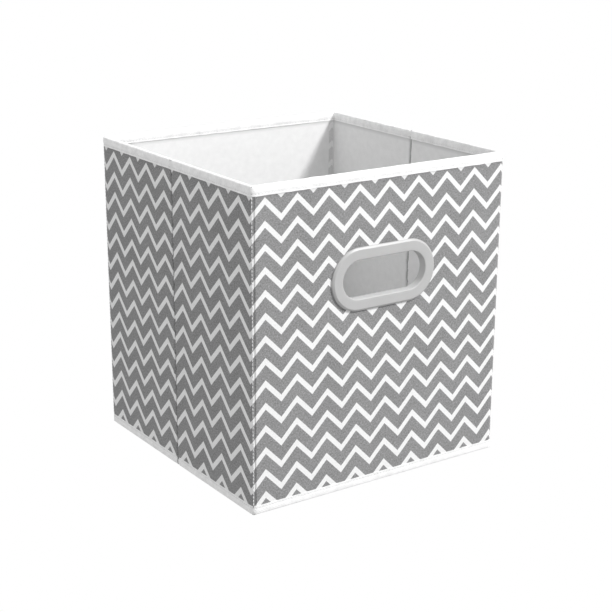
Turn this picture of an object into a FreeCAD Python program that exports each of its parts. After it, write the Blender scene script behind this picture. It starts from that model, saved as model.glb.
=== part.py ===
"""Foldable fabric storage bin.

Printed canvas over stiffener boards, tape-bound rims, a hand-slot grommet in the front and the back
wall, side walls that crease inwards so that the bin folds flat, and a loose covered base board.
Millimetres, +Z up, origin at the bottom centre, the front wall faces -Y and the left wall -X.
"""
import FreeCAD, Part
import math
import os
import re
import Sketcher
from FreeCAD import Placement, Rotation, Vector

doc = FreeCAD.newDocument("fabric_storage_bin")

# ---------------------------------------------------------------- driving dimensions

DIMENSIONS = [
    ("bin_width", 267.0, "outer canvas to outer canvas, across the front wall"),
    ("bin_depth", 260.0, "outer canvas to outer canvas, front to back"),
    ("bin_height", 285.0, "floor to the top of the rim tape"),
    ("canvas", 0.6, "printed outer canvas"),
    ("board", 2.0, "stiffener board inside a wall"),
    ("lining", 0.4, "non-woven lining"),
    ("tape", 0.5, "binding tape, one layer"),
    ("rim_tape_drop", 8.5, "how far the rim tape reaches down a wall"),
    ("foot_tape_rise", 8.0, "how far the foot tape reaches up a wall"),
    ("fold_gap", 0.3, "free room beside a fold line, each side"),
    ("board_inset", 1.7, "board edge back from the canvas edge at a fold line"),
    ("board_end", 4.5, "end of a front or back board in from the side canvas, clear of the soft corner"),
    ("board_rise", 8.0, "lower edge of the boards above the floor, over the bottom seam"),
    ("bottom_canvas", 0.6, "bottom panel sewn to the four walls"),
    ("base_board", 2.5, "board inside the loose base"),
    ("base_cover", 0.4, "non-woven cover of the loose base"),
    ("base_rest_gap", 0.1, "loose base above the bottom panel"),
    ("base_side_gap", 2.5, "loose base back from the lining of the side walls"),
    ("base_lift_gap", 0.5, "loose base back from the inner grommet flanges that it lifts past"),
    ("swing_gap", 0.5, "folding walls above the top of the loose base"),
    ("handle_rise", 192.0, "centre of the hand slots above the floor"),
    ("ring_length", 110.0, "grommet flange, end to end"),
    ("ring_height", 56.0, "grommet flange, top to bottom"),
    ("slot_length", 90.0, "hand slot, end to end"),
    ("slot_height", 34.5, "hand slot, top to bottom"),
    ("outer_flange", 3.0, "grommet flange outside the wall"),
    ("inner_flange", 2.0, "grommet flange inside the wall"),
    ("sleeve", 1.6, "wall of the grommet sleeve that passes through the wall"),
    ("ring_fit", 0.15, "room between the sleeve and what it passes through"),
    ("outer_round", 1.2, "rounding of the outer grommet's edges"),
    ("inner_round", 0.8, "rounding of the inner grommet's edges"),
    ("strip_width", 6.0, "seam strip inside the rear right corner"),
    ("strip", 0.4, "thickness of that strip"),
]

sheet = doc.addObject("Spreadsheet::Sheet", "Dimensions")
for row, (alias, value, note) in enumerate(DIMENSIONS, start=1):
    sheet.set(f"A{row}", note)
    sheet.set(f"B{row}", str(value))
    sheet.setAlias(f"B{row}", alias)
doc.recompute()


def cells(formula):
    """Turn each dimension's name in a formula into a reference to its spreadsheet cell."""
    return re.sub(r"[a-z_]+", lambda name: "Dimensions." + name.group(), formula)


def cell_value(alias):
    """The number that a spreadsheet cell holds."""
    return float(sheet.get(alias))


# Formulas that several pieces share.
WALL = "(canvas + board + lining)"              # canvas face to lining face
RIM = "(bin_height - tape)"                     # top edge of the walls, under the rim tape
TAPED_WALL = f"({WALL} + tape)"                 # canvas face to the inner face of the rim tape
BASE_TOP = "(bottom_canvas + base_rest_gap + 2 * base_cover + base_board)"
SWING_RISE = f"({BASE_TOP} + swing_gap)"        # lower edge of the walls that fold
HALF_WIDTH = "bin_width / 2"
HALF_DEPTH = "bin_depth / 2"

pieces = []


def keep(piece, node):
    """Name a finished sub-part; its Label is also the name of its file."""
    piece.Label = node
    pieces.append(piece)
    return piece


# ---------------------------------------------------------------- building blocks

def block(name, x_span, y_span, z_span):
    """A box between a low and a high formula along each axis."""
    box = doc.addObject("Part::Box", name)
    spans = zip("xyz", ("Length", "Width", "Height"), (x_span, y_span, z_span))
    for axis, edge, (low, high) in spans:
        box.setExpression(edge, cells(f"({high}) - ({low})"))
        box.setExpression(f"Placement.Base.{axis}", cells(low))
    return box


def cut(name, base, tool):
    """The base with the tool taken away."""
    result = doc.addObject("Part::Cut", name)
    result.Base = base
    result.Tool = tool
    return result


def inward(half, side, near, far):
    """Span between two depths below an outer face; side is -1 or +1 along that face's axis."""
    if side < 0:
        return f"{near} - {half}", f"{far} - {half}"
    return f"{half} - ({far})", f"{half} - ({near})"


def slot_block(name, length, height, y_span):
    """A prism with round ends along Y, centred on the hand slot's axis."""
    low, high = y_span
    bar = block(name + "_bar", (f"({height} - {length}) / 2", f"({length} - {height}) / 2"), y_span,
                (f"handle_rise - {height} / 2", f"handle_rise + {height} / 2"))
    parts = [bar]
    for end in (-1, 1):
        round_end = doc.addObject("Part::Cylinder", name + "_end")
        round_end.setExpression("Radius", cells(f"{height} / 2"))
        round_end.setExpression("Height", cells(f"({high}) - ({low})"))
        round_end.Placement.Rotation = Rotation(Vector(1, 0, 0), -90)
        round_end.setExpression("Placement.Base.x", cells(f"{end} * ({length} - {height}) / 2"))
        round_end.setExpression("Placement.Base.y", cells(low))
        round_end.setExpression("Placement.Base.z", cells("handle_rise"))
        parts.append(round_end)
    prism = doc.addObject("Part::MultiFuse", name)
    prism.Shapes = parts
    return prism


# ---------------------------------------------------------------- front and back walls

def end_wall(wall_name, side):
    """Layers and tapes of the front (side -1) or the back wall (side +1), over the full width."""

    def depth(near, far):
        return inward(HALF_DEPTH, side, near, far)

    def across(edge):
        return f"{edge} - {HALF_WIDTH}", f"{HALF_WIDTH} - ({edge})"

    low = "bottom_canvas" if side < 0 else SWING_RISE
    opening = "2 * (sleeve + ring_fit)"
    hole = (f"(slot_length + {opening})", f"(slot_height + {opening})", depth("-1", f"{WALL} + 1"))

    # The canvas turns round both corners as far as the lining face.
    wrap = block(wall_name + "_wrap", across("0"), depth("0", WALL), (low, RIM))
    core = block(wall_name + "_core", across("canvas"), depth("canvas", f"{WALL} + 1"),
                 (f"{low} - 1", f"{RIM} + 1"))
    shell = cut(wall_name + "_shell", wrap, core)
    canvas = cut(wall_name + "_canvas", shell, slot_block(wall_name + "_canvas_slot", *hole))
    keep(canvas, wall_name + "_outer_canvas")

    stiffener = block(wall_name + "_sheet", across("board_end"), depth("canvas", "canvas + board"),
                      ("board_rise", RIM))
    board = cut(wall_name + "_stiffener", stiffener, slot_block(wall_name + "_board_slot", *hole))
    keep(board, wall_name + "_stiffener_board")

    inside = block(wall_name + "_cloth", across("canvas"), depth("canvas + board", WALL), (low, RIM))
    lining = cut(wall_name + "_inside", inside, slot_block(wall_name + "_lining_slot", *hole))
    keep(lining, wall_name + "_lining")

    # The rim tape is a cap over the top edge, closed round both corners.
    cap = block(wall_name + "_cap", across("-tape"), depth("-tape", TAPED_WALL),
                ("bin_height - rim_tape_drop", "bin_height"))
    edge = block(wall_name + "_edge", across("0"), depth("0", WALL),
                 ("bin_height - rim_tape_drop - 1", RIM))
    keep(cut(wall_name + "_rim", cap, edge), wall_name + "_rim_tape")

    # The foot tape runs round the outside only.
    band = block(wall_name + "_band", across("-tape"), depth("-tape", WALL), ("0", "foot_tape_rise"))
    foot = block(wall_name + "_foot", across("0"), depth("0", f"{WALL} + 1"),
                 ("-1", "foot_tape_rise + 1"))
    keep(cut(wall_name + "_hem", band, foot), wall_name + "_foot_tape")


# ---------------------------------------------------------------- side walls, in two halves

def side_half(half_name, side, end):
    """Half a side wall, from a corner to the crease at mid depth; end is -1 in front, +1 behind."""

    def depth(near, far):
        return inward(HALF_WIDTH, side, near, far)

    def along(edge):
        return inward(HALF_DEPTH, end, f"{TAPED_WALL} + fold_gap + {edge}",
                      f"{HALF_DEPTH} - fold_gap - {edge}")

    standing = (SWING_RISE, RIM)
    keep(block(half_name + "_canvas", depth("0", "canvas"), along("0"), standing),
         half_name + "_outer_canvas")
    keep(block(half_name + "_stiffener", depth("canvas", "canvas + board"), along("board_inset"),
               ("board_rise", RIM)), half_name + "_stiffener_board")
    keep(block(half_name + "_inside", depth("canvas + board", WALL), along("0"), standing),
         half_name + "_lining")
    cap = block(half_name + "_cap", depth("-tape", TAPED_WALL), along("0"),
                ("bin_height - rim_tape_drop", "bin_height"))
    edge = block(half_name + "_edge", depth("0", WALL), along("-1"),
                 ("bin_height - rim_tape_drop - 1", RIM))
    keep(cut(half_name + "_rim", cap, edge), half_name + "_rim_tape")
    keep(block(half_name + "_hem", depth("-tape", "0"), along("0"), ("0", "foot_tape_rise")),
         half_name + "_foot_tape")


# ---------------------------------------------------------------- hand-slot grommets

def plane_of(body, role):
    """The body's own origin plane with that role."""
    return next(item for item in body.Origin.OriginFeatures if item.Role == role)


def stadium(sketch, length, height, label):
    """Two half circles joined by straight lines, centred on the sketch origin."""
    radius = 20.0
    reach = 30.0
    first = sketch.GeometryCount
    for end in (-1, 1):
        circle = Part.Circle(Vector(end * reach, 0, 0), Vector(0, 0, 1), radius)
        start = 270 if end > 0 else 90
        sketch.addGeometry(Part.ArcOfCircle(circle, math.radians(start), math.radians(start + 180)))
    for rise in (-1, 1):
        line = Part.LineSegment(Vector(-reach, rise * radius, 0), Vector(reach, rise * radius, 0))
        sketch.addGeometry(line)
    left, right, lower, upper = range(first, first + 4)
    sketch.addConstraint([
        Sketcher.Constraint("Tangent", left, 1, upper, 1),
        Sketcher.Constraint("Tangent", left, 2, lower, 1),
        Sketcher.Constraint("Tangent", right, 1, lower, 2),
        Sketcher.Constraint("Tangent", right, 2, upper, 2),
        Sketcher.Constraint("Equal", left, right),
        Sketcher.Constraint("Symmetric", left, 3, right, 3, -1, 1),
        Sketcher.Constraint("PointOnObject", right, 3, -1),
    ])
    across = sketch.addConstraint(Sketcher.Constraint("Radius", right, radius))
    apart = sketch.addConstraint(Sketcher.Constraint("DistanceX", left, 3, right, 3, 2 * reach))
    sketch.renameConstraint(across, label + "_radius")
    sketch.renameConstraint(apart, label + "_centres")
    sketch.setExpression(f"Constraints.{label}_radius", cells(f"{height} / 2"))
    sketch.setExpression(f"Constraints.{label}_centres", cells(f"{length} - {height}"))


def ring_sketch(body, name, outside, inside, offset="0"):
    """Two stadium outlines on the body's XZ plane, moved along its Y by an offset formula."""
    sketch = body.newObject("Sketcher::SketchObject", name)
    sketch.AttachmentSupport = [(plane_of(body, "XZ_Plane"), "")]
    sketch.MapMode = "FlatFace"
    sketch.setExpression("AttachmentOffset.Base.z", cells(f"-({offset})"))
    stadium(sketch, *outside, "outside")
    stadium(sketch, *inside, "inside")
    return sketch


def pad(body, name, sketch, thickness, towards_inside):
    """A pad of the sketch's face, outwards or towards the inside of the bin."""
    feature = body.newObject("PartDesign::Pad", name)
    feature.Profile = sketch
    feature.setExpression("Length", cells(thickness))
    feature.Reversed = towards_inside
    sketch.Visibility = False
    return feature


def round_face(body, name, base, y_level, radius):
    """Round every edge of the face that lies at that height along the body's Y."""
    doc.recompute()
    edges = [f"Edge{number}" for number, edge in enumerate(base.Shape.Edges, start=1)
             if abs(edge.BoundBox.YMin - y_level) < 0.01 and abs(edge.BoundBox.YMax - y_level) < 0.01]
    feature = body.newObject("PartDesign::Fillet", name)
    feature.Base = (base, edges)
    feature.setExpression("Radius", cells(radius))
    return feature


SLOT = ("slot_length", "slot_height")
FLANGE = ("ring_length", "ring_height")


def grommet(wall_name, side):
    """The outer ring with its sleeve, and the inner ring that snaps over the sleeve."""
    turn = Rotation(Vector(0, 0, 1), 0 if side < 0 else 180)

    def place(body):
        body.Placement = Placement(Vector(0, 0, 0), turn)
        body.setExpression("Placement.Base.y", cells(f"{side} * {HALF_DEPTH}"))
        body.setExpression("Placement.Base.z", cells("handle_rise"))

    outer = doc.addObject("PartDesign::Body", wall_name + "_outer_grommet")
    place(outer)
    flange = ring_sketch(outer, wall_name + "_flange_outline", FLANGE, SLOT)
    pad(outer, wall_name + "_flange", flange, "outer_flange", False)
    tube = ring_sketch(outer, wall_name + "_sleeve_outline",
                       ("(slot_length + 2 * sleeve)", "(slot_height + 2 * sleeve)"), SLOT)
    whole = pad(outer, wall_name + "_sleeve", tube, f"{WALL} + inner_flange", True)
    round_face(outer, wall_name + "_flange_round", whole, -cell_value("outer_flange"), "outer_round")
    keep(outer, wall_name + "_handle_outer_ring")

    inner = doc.addObject("PartDesign::Body", wall_name + "_inner_grommet")
    place(inner)
    seat = ring_sketch(inner, wall_name + "_seat_outline", FLANGE,
                       ("(slot_length + 2 * (sleeve + ring_fit))",
                        "(slot_height + 2 * (sleeve + ring_fit))"), WALL)
    ring = pad(inner, wall_name + "_seat", seat, "inner_flange", True)
    doc.recompute()
    face = max(vertex.Y for vertex in ring.Shape.Vertexes)
    round_face(inner, wall_name + "_seat_round", ring, face, "inner_round")
    keep(inner, wall_name + "_handle_inner_ring")


# ---------------------------------------------------------------- assembly

end_wall("front", -1)
end_wall("back", 1)
for side_name, side in (("left", -1), ("right", 1)):
    for end_name, end in (("front", -1), ("rear", 1)):
        side_half(f"{side_name}_{end_name}", side, end)
grommet("front", -1)
grommet("back", 1)

# The bottom panel is sewn to the four walls all round.
keep(block("bottom", (f"-{HALF_WIDTH}", HALF_WIDTH), (f"-{HALF_DEPTH}", HALF_DEPTH),
           ("0", "bottom_canvas")), "bottom_canvas_panel")

# A strip of the printed canvas closes the wrap's seam inside the rear right corner.
STRIP_EDGE = f"{HALF_WIDTH} - {TAPED_WALL}"
keep(block("seam", (f"{STRIP_EDGE} - strip_width", STRIP_EDGE),
           inward(HALF_DEPTH, 1, WALL, f"{WALL} + strip"),
           ("board_rise", "bin_height - rim_tape_drop")), "back_seam_strip")

# The loose base: a board in a sewn cover, clear of the inner grommet flanges as it lifts out.
BASE_X = f"({HALF_WIDTH} - {WALL} - base_side_gap)"
BASE_Y = f"({HALF_DEPTH} - {WALL} - inner_flange - base_lift_gap)"
BASE_LOW = "bottom_canvas + base_rest_gap"


def base_layer(name, skin):
    """A plate of the loose base, in from its outside by the skin."""
    return block(name, (f"{skin} - {BASE_X}", f"{BASE_X} - {skin}"),
                 (f"{skin} - {BASE_Y}", f"{BASE_Y} - {skin}"),
                 (f"{BASE_LOW} + {skin}", f"{BASE_TOP} - {skin}"))


keep(base_layer("plate", "base_cover"), "base_insert_board")
envelope = base_layer("envelope", "0")
keep(cut("cover", envelope, base_layer("pocket", "base_cover")), "base_insert_cover")

# ---------------------------------------------------------------- checks and files

doc.recompute()
for item in doc.Objects:
    if "Invalid" in item.State or "Error" in item.State:
        raise RuntimeError(f"{item.Label} did not build: {item.State}")
for piece in pieces:
    if piece.Shape.isNull() or not piece.Shape.isValid() or len(piece.Shape.Solids) != 1:
        raise RuntimeError(f"{piece.Label} is not one valid solid")

os.makedirs("parts", exist_ok=True)
for piece in pieces:
    piece.Shape.exportStep(f"parts/{piece.Label}.step")
print(len(pieces), "pieces written")
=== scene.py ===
"""Looks of a foldable fabric storage bin: printed canvas walls, taped rim, two grommets, loose base."""
import math

import bmesh
import bpy
from mathutils import Matrix, Vector, noise


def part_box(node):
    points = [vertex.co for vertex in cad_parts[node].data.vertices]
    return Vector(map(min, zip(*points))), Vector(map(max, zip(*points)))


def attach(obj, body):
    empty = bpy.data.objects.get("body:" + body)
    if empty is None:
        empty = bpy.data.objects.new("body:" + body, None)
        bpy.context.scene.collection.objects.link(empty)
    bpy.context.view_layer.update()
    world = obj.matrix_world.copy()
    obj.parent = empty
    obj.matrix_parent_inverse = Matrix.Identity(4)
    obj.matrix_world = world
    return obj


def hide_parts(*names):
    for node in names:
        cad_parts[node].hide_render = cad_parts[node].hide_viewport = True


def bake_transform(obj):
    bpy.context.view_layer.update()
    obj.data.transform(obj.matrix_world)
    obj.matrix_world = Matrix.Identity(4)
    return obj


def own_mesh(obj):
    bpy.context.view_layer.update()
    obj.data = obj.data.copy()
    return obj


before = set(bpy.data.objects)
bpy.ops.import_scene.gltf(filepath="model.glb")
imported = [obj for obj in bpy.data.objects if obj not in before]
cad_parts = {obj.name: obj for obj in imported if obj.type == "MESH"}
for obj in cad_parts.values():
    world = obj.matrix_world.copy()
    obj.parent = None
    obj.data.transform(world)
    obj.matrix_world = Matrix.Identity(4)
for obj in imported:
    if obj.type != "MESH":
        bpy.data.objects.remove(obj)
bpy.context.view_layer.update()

# ------------------------------------------------------------------ stiffener boards
# Six sheets of 2 mm grey-brown chipboard stand between the canvas and the lining, one in the front, one
# in the back and two in each side wall, which creases between them. A seventh is in the loose base.
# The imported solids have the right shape, so they only get their raw board finish.

def add_node(tree, kind, feeds=None, **settings):
    """A shader node with its settings; feeds holds the sockets or values for its inputs."""
    node = tree.nodes.new(kind)
    for name, value in settings.items():
        setattr(node, name, value)
    for socket, value in (feeds or {}).items():
        if isinstance(value, bpy.types.NodeSocket):
            tree.links.new(value, node.inputs[socket])
        else:
            node.inputs[socket].default_value = value
    return node


def sums(tree, operation, *values, clamp=False):
    """The output of a Math node on those values or sockets."""
    node = add_node(tree, "ShaderNodeMath", dict(enumerate(values)), operation=operation)
    node.use_clamp = clamp
    return node.outputs[0]


def blend_colour(tree, share, first, second):
    """The first colour at share 0 and the second at share 1."""
    node = add_node(tree, "ShaderNodeMix", {"Factor": share}, data_type="RGBA")
    for socket, colour in zip(node.inputs[6:8], (first, second)):
        if isinstance(colour, bpy.types.NodeSocket):
            tree.links.new(colour, socket)
        else:
            socket.default_value = (*colour, 1.0)
    return node.outputs[2]


def effect_group(name, inputs, outputs):
    """An empty shader node group with named float or vector inputs and float outputs."""
    tree = bpy.data.node_groups.new(name, "ShaderNodeTree")
    for label, value in inputs.items():
        kind = "NodeSocketVector" if value is None else "NodeSocketFloat"
        socket = tree.interface.new_socket(label, in_out="INPUT", socket_type=kind)
        if value is not None:
            socket.default_value = value
    for label in outputs:
        tree.interface.new_socket(label, in_out="OUTPUT", socket_type="NodeSocketFloat")
    return tree, tree.nodes.new("NodeGroupInput").outputs, tree.nodes.new("NodeGroupOutput").inputs


def use_group(tree, group, **feeds):
    """The group placed in a material's tree; feeds are named after its inputs, with _ for spaces."""
    node = add_node(tree, "ShaderNodeGroup", node_tree=group)
    for label, value in feeds.items():
        socket = node.inputs[label.replace("_", " ")]
        if isinstance(value, bpy.types.NodeSocket):
            tree.links.new(value, socket)
        else:
            socket.default_value = value
    return node.outputs


def finish_material(name, roughness, **constants):
    """A material's tree and its Principled shader, with the constants set on the shader's sockets."""
    material = bpy.data.materials.new(name)
    material.use_nodes = True
    shader = material.node_tree.nodes["Principled BSDF"]
    shader.inputs["Roughness"].default_value = roughness
    for label, value in constants.items():
        shader.inputs[label.replace("_", " ")].default_value = value
    return material, material.node_tree, shader


def add_relief(tree, shader, height, depth, strength=1.0):
    """Feeds a height, full at that depth in metres, to the shader's normal."""
    relief = add_node(tree, "ShaderNodeBump", {"Height": height, "Strength": strength, "Distance": depth})
    tree.links.new(relief.outputs[0], shader.inputs["Normal"])


# Matted fibres: short streaks in two directions over a soft cloudiness, as in board and felted cloth.
fibre_mat, given, out = effect_group("fibre_mat", {"Place": None, "Fibre Scale": 900.0, "Cloud Scale": 40.0},
                                     ["Fibre", "Cloud"])
streaks = []
for stretch in ((1.0, 0.22, 0.6), (0.25, 1.0, 1.0)):
    turned = add_node(fibre_mat, "ShaderNodeMapping", {"Vector": given["Place"], "Scale": stretch,
                                                       "Rotation": (0.3, 0.5, 0.6)})
    streaks.append(add_node(fibre_mat, "ShaderNodeTexNoise",
                            {"Vector": turned.outputs[0], "Scale": given["Fibre Scale"],
                             "Detail": 3.0, "Roughness": 0.6}).outputs[0])
clouds = add_node(fibre_mat, "ShaderNodeTexNoise",
                  {"Vector": given["Place"], "Scale": given["Cloud Scale"], "Detail": 4.0})
fibre_mat.links.new(sums(fibre_mat, "MAXIMUM", *streaks), out["Fibre"])
fibre_mat.links.new(clouds.outputs[0], out["Cloud"])

BOARD_DARK, BOARD_LIGHT = (0.30, 0.24, 0.17), (0.52, 0.45, 0.35)
chipboard, tree, shader = finish_material("raw_chipboard", 0.92)
place = add_node(tree, "ShaderNodeTexCoord").outputs["Object"]
pulp = use_group(tree, fibre_mat, Place=place, Fibre_Scale=700.0, Cloud_Scale=60.0)
tone = sums(tree, "MULTIPLY_ADD", pulp["Fibre"], 0.7, sums(tree, "MULTIPLY", pulp["Cloud"], 0.4), clamp=True)
tree.links.new(blend_colour(tree, tone, BOARD_DARK, BOARD_LIGHT), shader.inputs["Base Color"])
add_relief(tree, shader, pulp["Fibre"], 0.0002, 0.5)

BOARD_NODES = [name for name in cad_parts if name.endswith("_stiffener_board")]
for name in BOARD_NODES + ["base_insert_board"]:
    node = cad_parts[name]
    node.data.materials.clear()
    node.data.materials.append(chipboard)

# ------------------------------------------------------------------ printed canvas
# One length of grey canvas with a white zigzag print wraps all four walls, from the rear right corner
# round the back, left, front and right, and is sewn shut where it started. It is edge-stitched along
# each upright corner and pressed into a crease down the middle of each side wall.

WALLS_LOW, WALLS_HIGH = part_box("front_outer_canvas")
HALF_WIDTH = WALLS_HIGH.x
HALF_DEPTH = -WALLS_LOW.y
WIDTH, DEPTH = 2 * HALF_WIDTH, 2 * HALF_DEPTH
RIM_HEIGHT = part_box("front_rim_tape")[1].z
RIM_TAPE_DROP = RIM_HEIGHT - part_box("front_rim_tape")[0].z
CANVAS_TOP = WALLS_HIGH.z
CANVAS_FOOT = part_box("left_front_outer_canvas")[0].z
CANVAS_THICKNESS = 0.0006
CORNER_RADIUS = 0.0042
CORNER_REACH = 0.024            # how far a corner's own piece of cloth runs along each wall
CREASE_REACH = 0.002            # half the gap between the boards at a crease

# Runs are measured along the canvas in metres from the front left corner, rightwards along the front.
RUN_OF = {"back_right": -DEPTH - WIDTH, "back_left": -DEPTH, "left_crease": -DEPTH / 2,
          "front_left": 0.0, "front_right": WIDTH, "right_crease": WIDTH + DEPTH / 2}
WRAP_END = WIDTH + DEPTH - CORNER_RADIUS
WALL_RUNS = [  # where each wall starts, its first corner, its direction and the way into the bin
    (RUN_OF["back_right"] - DEPTH, Vector((HALF_WIDTH, -HALF_DEPTH)), Vector((0, 1)), Vector((-1, 0))),
    (RUN_OF["back_right"], Vector((HALF_WIDTH, HALF_DEPTH)), Vector((-1, 0)), Vector((0, -1))),
    (RUN_OF["back_left"], Vector((-HALF_WIDTH, HALF_DEPTH)), Vector((0, -1)), Vector((1, 0))),
    (RUN_OF["front_left"], Vector((-HALF_WIDTH, -HALF_DEPTH)), Vector((1, 0)), Vector((0, 1))),
    (RUN_OF["front_right"], Vector((HALF_WIDTH, -HALF_DEPTH)), Vector((0, 1)), Vector((-1, 0))),
]


def wall_point(run, depth, rise):
    """The point that far along the wrap, in from the canvas face and above the floor."""
    number = max(i for i, wall in enumerate(WALL_RUNS) if run >= wall[0] - CORNER_RADIUS or i == 0)
    start, corner, along, inward = WALL_RUNS[number]
    if number and run < start + CORNER_RADIUS:
        before = WALL_RUNS[number - 1][3]
        turn = (run - start + CORNER_RADIUS) / (2 * CORNER_RADIUS) * math.pi / 2
        outward = -(before * math.cos(turn) + inward * math.sin(turn))
        plan = corner + (before + inward) * CORNER_RADIUS + outward * (CORNER_RADIUS - depth)
    else:
        plan = corner + along * (run - start) + inward * depth
    return Vector((plan.x, plan.y, rise))


def near(distance, width):
    """A smooth hump, 1 at no distance and fading over that width."""
    return math.exp(-(distance / width) ** 2)


LONG_SWAY, SHORT_SWAY = 0.0009, 0.0006


def crease_line(run, rise):
    """How far a point is from the nearest side crease, which wanders a little as it rises."""
    sway = LONG_SWAY * noise.noise(Vector((0, 0, rise * 90)))
    sway += SHORT_SWAY * noise.noise(Vector((5, 0, rise * 260)))
    return min(abs(run - RUN_OF[name] - sway) for name in ("left_crease", "right_crease"))


def corner_line(run, offset=0.0):
    """Distance along the wrap to the line that lies that far past the nearest upright corner."""
    corners = ("back_right", "back_left", "front_left", "front_right")
    return min(abs(run - RUN_OF[name] - offset) for name in corners)


def unevenness(run, rise, size, seed):
    """Soft, seeded waves in a cloth surface, between about -1 and 1."""
    return noise.noise(Vector((run / size, rise / size, seed)))


PRESS_LINE = 0.0022             # the seam allowance inside each sewn corner ends here, past the corner
PRESS_DEPTH, PRESS_WIDTH = 0.0006, 0.0005
CREASE_DEPTH, CREASE_WIDTH = 0.0011, 0.0009
PINCH_RISE, PINCH_WIDTH = 0.0006, 0.0009        # the ridge along each sewn corner
FULLNESS = 0.0005               # how far the cloth stands off the boards in mid wall
SLACK_REACH = 0.03              # the fullness grows over this distance from a fold or an edge


def canvas_pressed(run, rise):
    """How hard the canvas is pressed in, at the creases, beside the sewn corners and under the tapes; the
    finish paints shade there.
    """
    beside_tape = 0.6 * near(rise - (RIM_HEIGHT - RIM_TAPE_DROP), 0.0007)
    corner = 0.65 * near(corner_line(run, PRESS_LINE), PRESS_WIDTH)
    return min(1.0, max(0.12 * near(crease_line(run, rise), 0.0008), corner, beside_tape))


def canvas_depth(run, rise):
    """Depth of the canvas: sunk into creases, pinched out along the sewn corners, full between."""
    crease, corner = crease_line(run, rise), corner_line(run)
    puckers = 0.0004 * math.sin(rise * 700 + 3 * unevenness(run, rise, 0.02, 4)) * near(crease, 0.005)
    pressed = CREASE_DEPTH * near(crease, CREASE_WIDTH)
    pressed += PRESS_DEPTH * near(corner_line(run, PRESS_LINE), PRESS_WIDTH)
    pinched = PINCH_RISE * near(corner, PINCH_WIDTH)
    edges = min(1.0, min(crease, corner, CANVAS_TOP - rise, rise) / SLACK_REACH)
    fullness = FULLNESS * max(0.0, edges) ** 0.5 * (1 + 0.6 * unevenness(run, rise, 0.07, 1))
    return pressed - pinched - fullness - 0.00012 * unevenness(run, rise, 0.011, 2) + puckers


TUCKED_CLOTH = 0.0015           # cloth that is taken up inside each side crease
STRETCH_AT_FLOOR, STRETCH_PER_RISE, STRETCH_CURVE = -0.0010, 0.036, -0.125


def print_place(run, rise):
    """Where a point of the canvas lies on the flat printed cloth, which was sewn on a little stretched."""
    tucked = sum(math.tanh((run - RUN_OF[name]) / 0.0008) for name in ("left_crease", "right_crease"))
    stretched = STRETCH_AT_FLOOR + STRETCH_PER_RISE * rise + STRETCH_CURVE * rise * rise
    return run + TUCKED_CLOTH / 2 * tucked, rise - stretched


def cloth_grid(name, runs, seconds, cell, place, ease=1.0, hole=None, faces_in=False, cloth_place=None,
               pressed=None):
    """A sheet as a grid: columns along the wrap, rows along the second measure, each placed by a rule.

    An ease above 1 crowds the columns at mid length. The UV map, wrap, holds each point's place on the
    flat cloth in metres, and the attribute pressed holds how hard it is pressed into a fold or seam.
    """
    cloth = bmesh.new()
    columns = max(2, round((runs[1] - runs[0]) / cell[0]))
    rows = max(2, round((seconds[1] - seconds[0]) / cell[1]))
    bmesh.ops.create_grid(cloth, x_segments=columns, y_segments=rows, size=1.0)
    half_run, half_second = (runs[1] - runs[0]) / 2, (seconds[1] - seconds[0]) / 2
    for vert in cloth.verts:
        eased = math.copysign(abs(vert.co.x) ** ease, vert.co.x)
        vert.co.x = runs[0] + half_run * (1 + eased)
        vert.co.y = seconds[0] + half_second * (1 + vert.co.y)
    if hole:
        open_slot(cloth, *hole)
    wrap = cloth.loops.layers.uv.new("wrap")
    folded = cloth.verts.layers.float.new("pressed")
    for face in cloth.faces:
        for corner in face.loops:
            flat = corner.vert.co.xy
            corner[wrap].uv = cloth_place(*flat) if cloth_place else flat
    for vert in cloth.verts:
        run, second = vert.co.x, vert.co.y
        vert[folded] = pressed(run, second) if pressed else 0.0
        depth, rise = place(run, second)
        vert.co = wall_point(run, depth, rise)
    if faces_in:
        bmesh.ops.reverse_faces(cloth, faces=cloth.faces)
    for edge in cloth.edges:        # cut edges stay crisp, so neighbouring pieces meet without a line
        edge.smooth = not edge.is_boundary
    return make_piece(name, cloth)


TRIM_IN, TRIM_OUT = 0.0008, 0.008       # edge points this near a slot's outline are moved onto it


def open_slot(cloth, centre, length, height):
    """Cuts a slot with round ends out of a flat grid, around that centre, and trims its edge true."""
    radius, reach = height / 2, (length - height) / 2

    def spine(vert):
        """The nearest point on the slot's middle line."""
        offset = min(max(vert.co.x - centre[0], -reach), reach)
        return Vector((centre[0] + offset, centre[1], 0))

    inside = [v for v in cloth.verts if (v.co - spine(v)).length < radius - TRIM_IN]
    bmesh.ops.delete(cloth, geom=inside, context="VERTS")
    for vert in cloth.verts:
        away = vert.co - spine(vert)
        if vert.is_boundary and away.length < radius + TRIM_OUT:
            vert.co = spine(vert) + away.normalized() * radius


def make_piece(name, shape):
    """A finished mesh object at the origin, made from a bmesh."""
    mesh = bpy.data.meshes.new(name)
    shape.to_mesh(mesh)
    shape.free()
    mesh.shade_smooth()
    piece = bpy.data.objects.new(name, mesh)
    bpy.context.scene.collection.objects.link(piece)
    return piece


def thicken(piece, thickness):
    """Gives a sheet its thickness, behind the face that shows."""
    layer = piece.modifiers.new("thickness", "SOLIDIFY")
    layer.thickness = thickness
    layer.offset = -1.0


# Each fold of the bin: the bodies before and after it along the run, and how far the cloth bends.
FOLDS = {
    "back_left": ("back_wall", "left_rear_half", CORNER_RADIUS),
    "left_crease": ("left_rear_half", "left_front_half", CREASE_REACH),
    "front_left": ("left_front_half", "front_wall", CORNER_RADIUS),
    "front_right": ("front_wall", "right_front_half", CORNER_RADIUS),
    "right_crease": ("right_front_half", "right_rear_half", CREASE_REACH),
}
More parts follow.
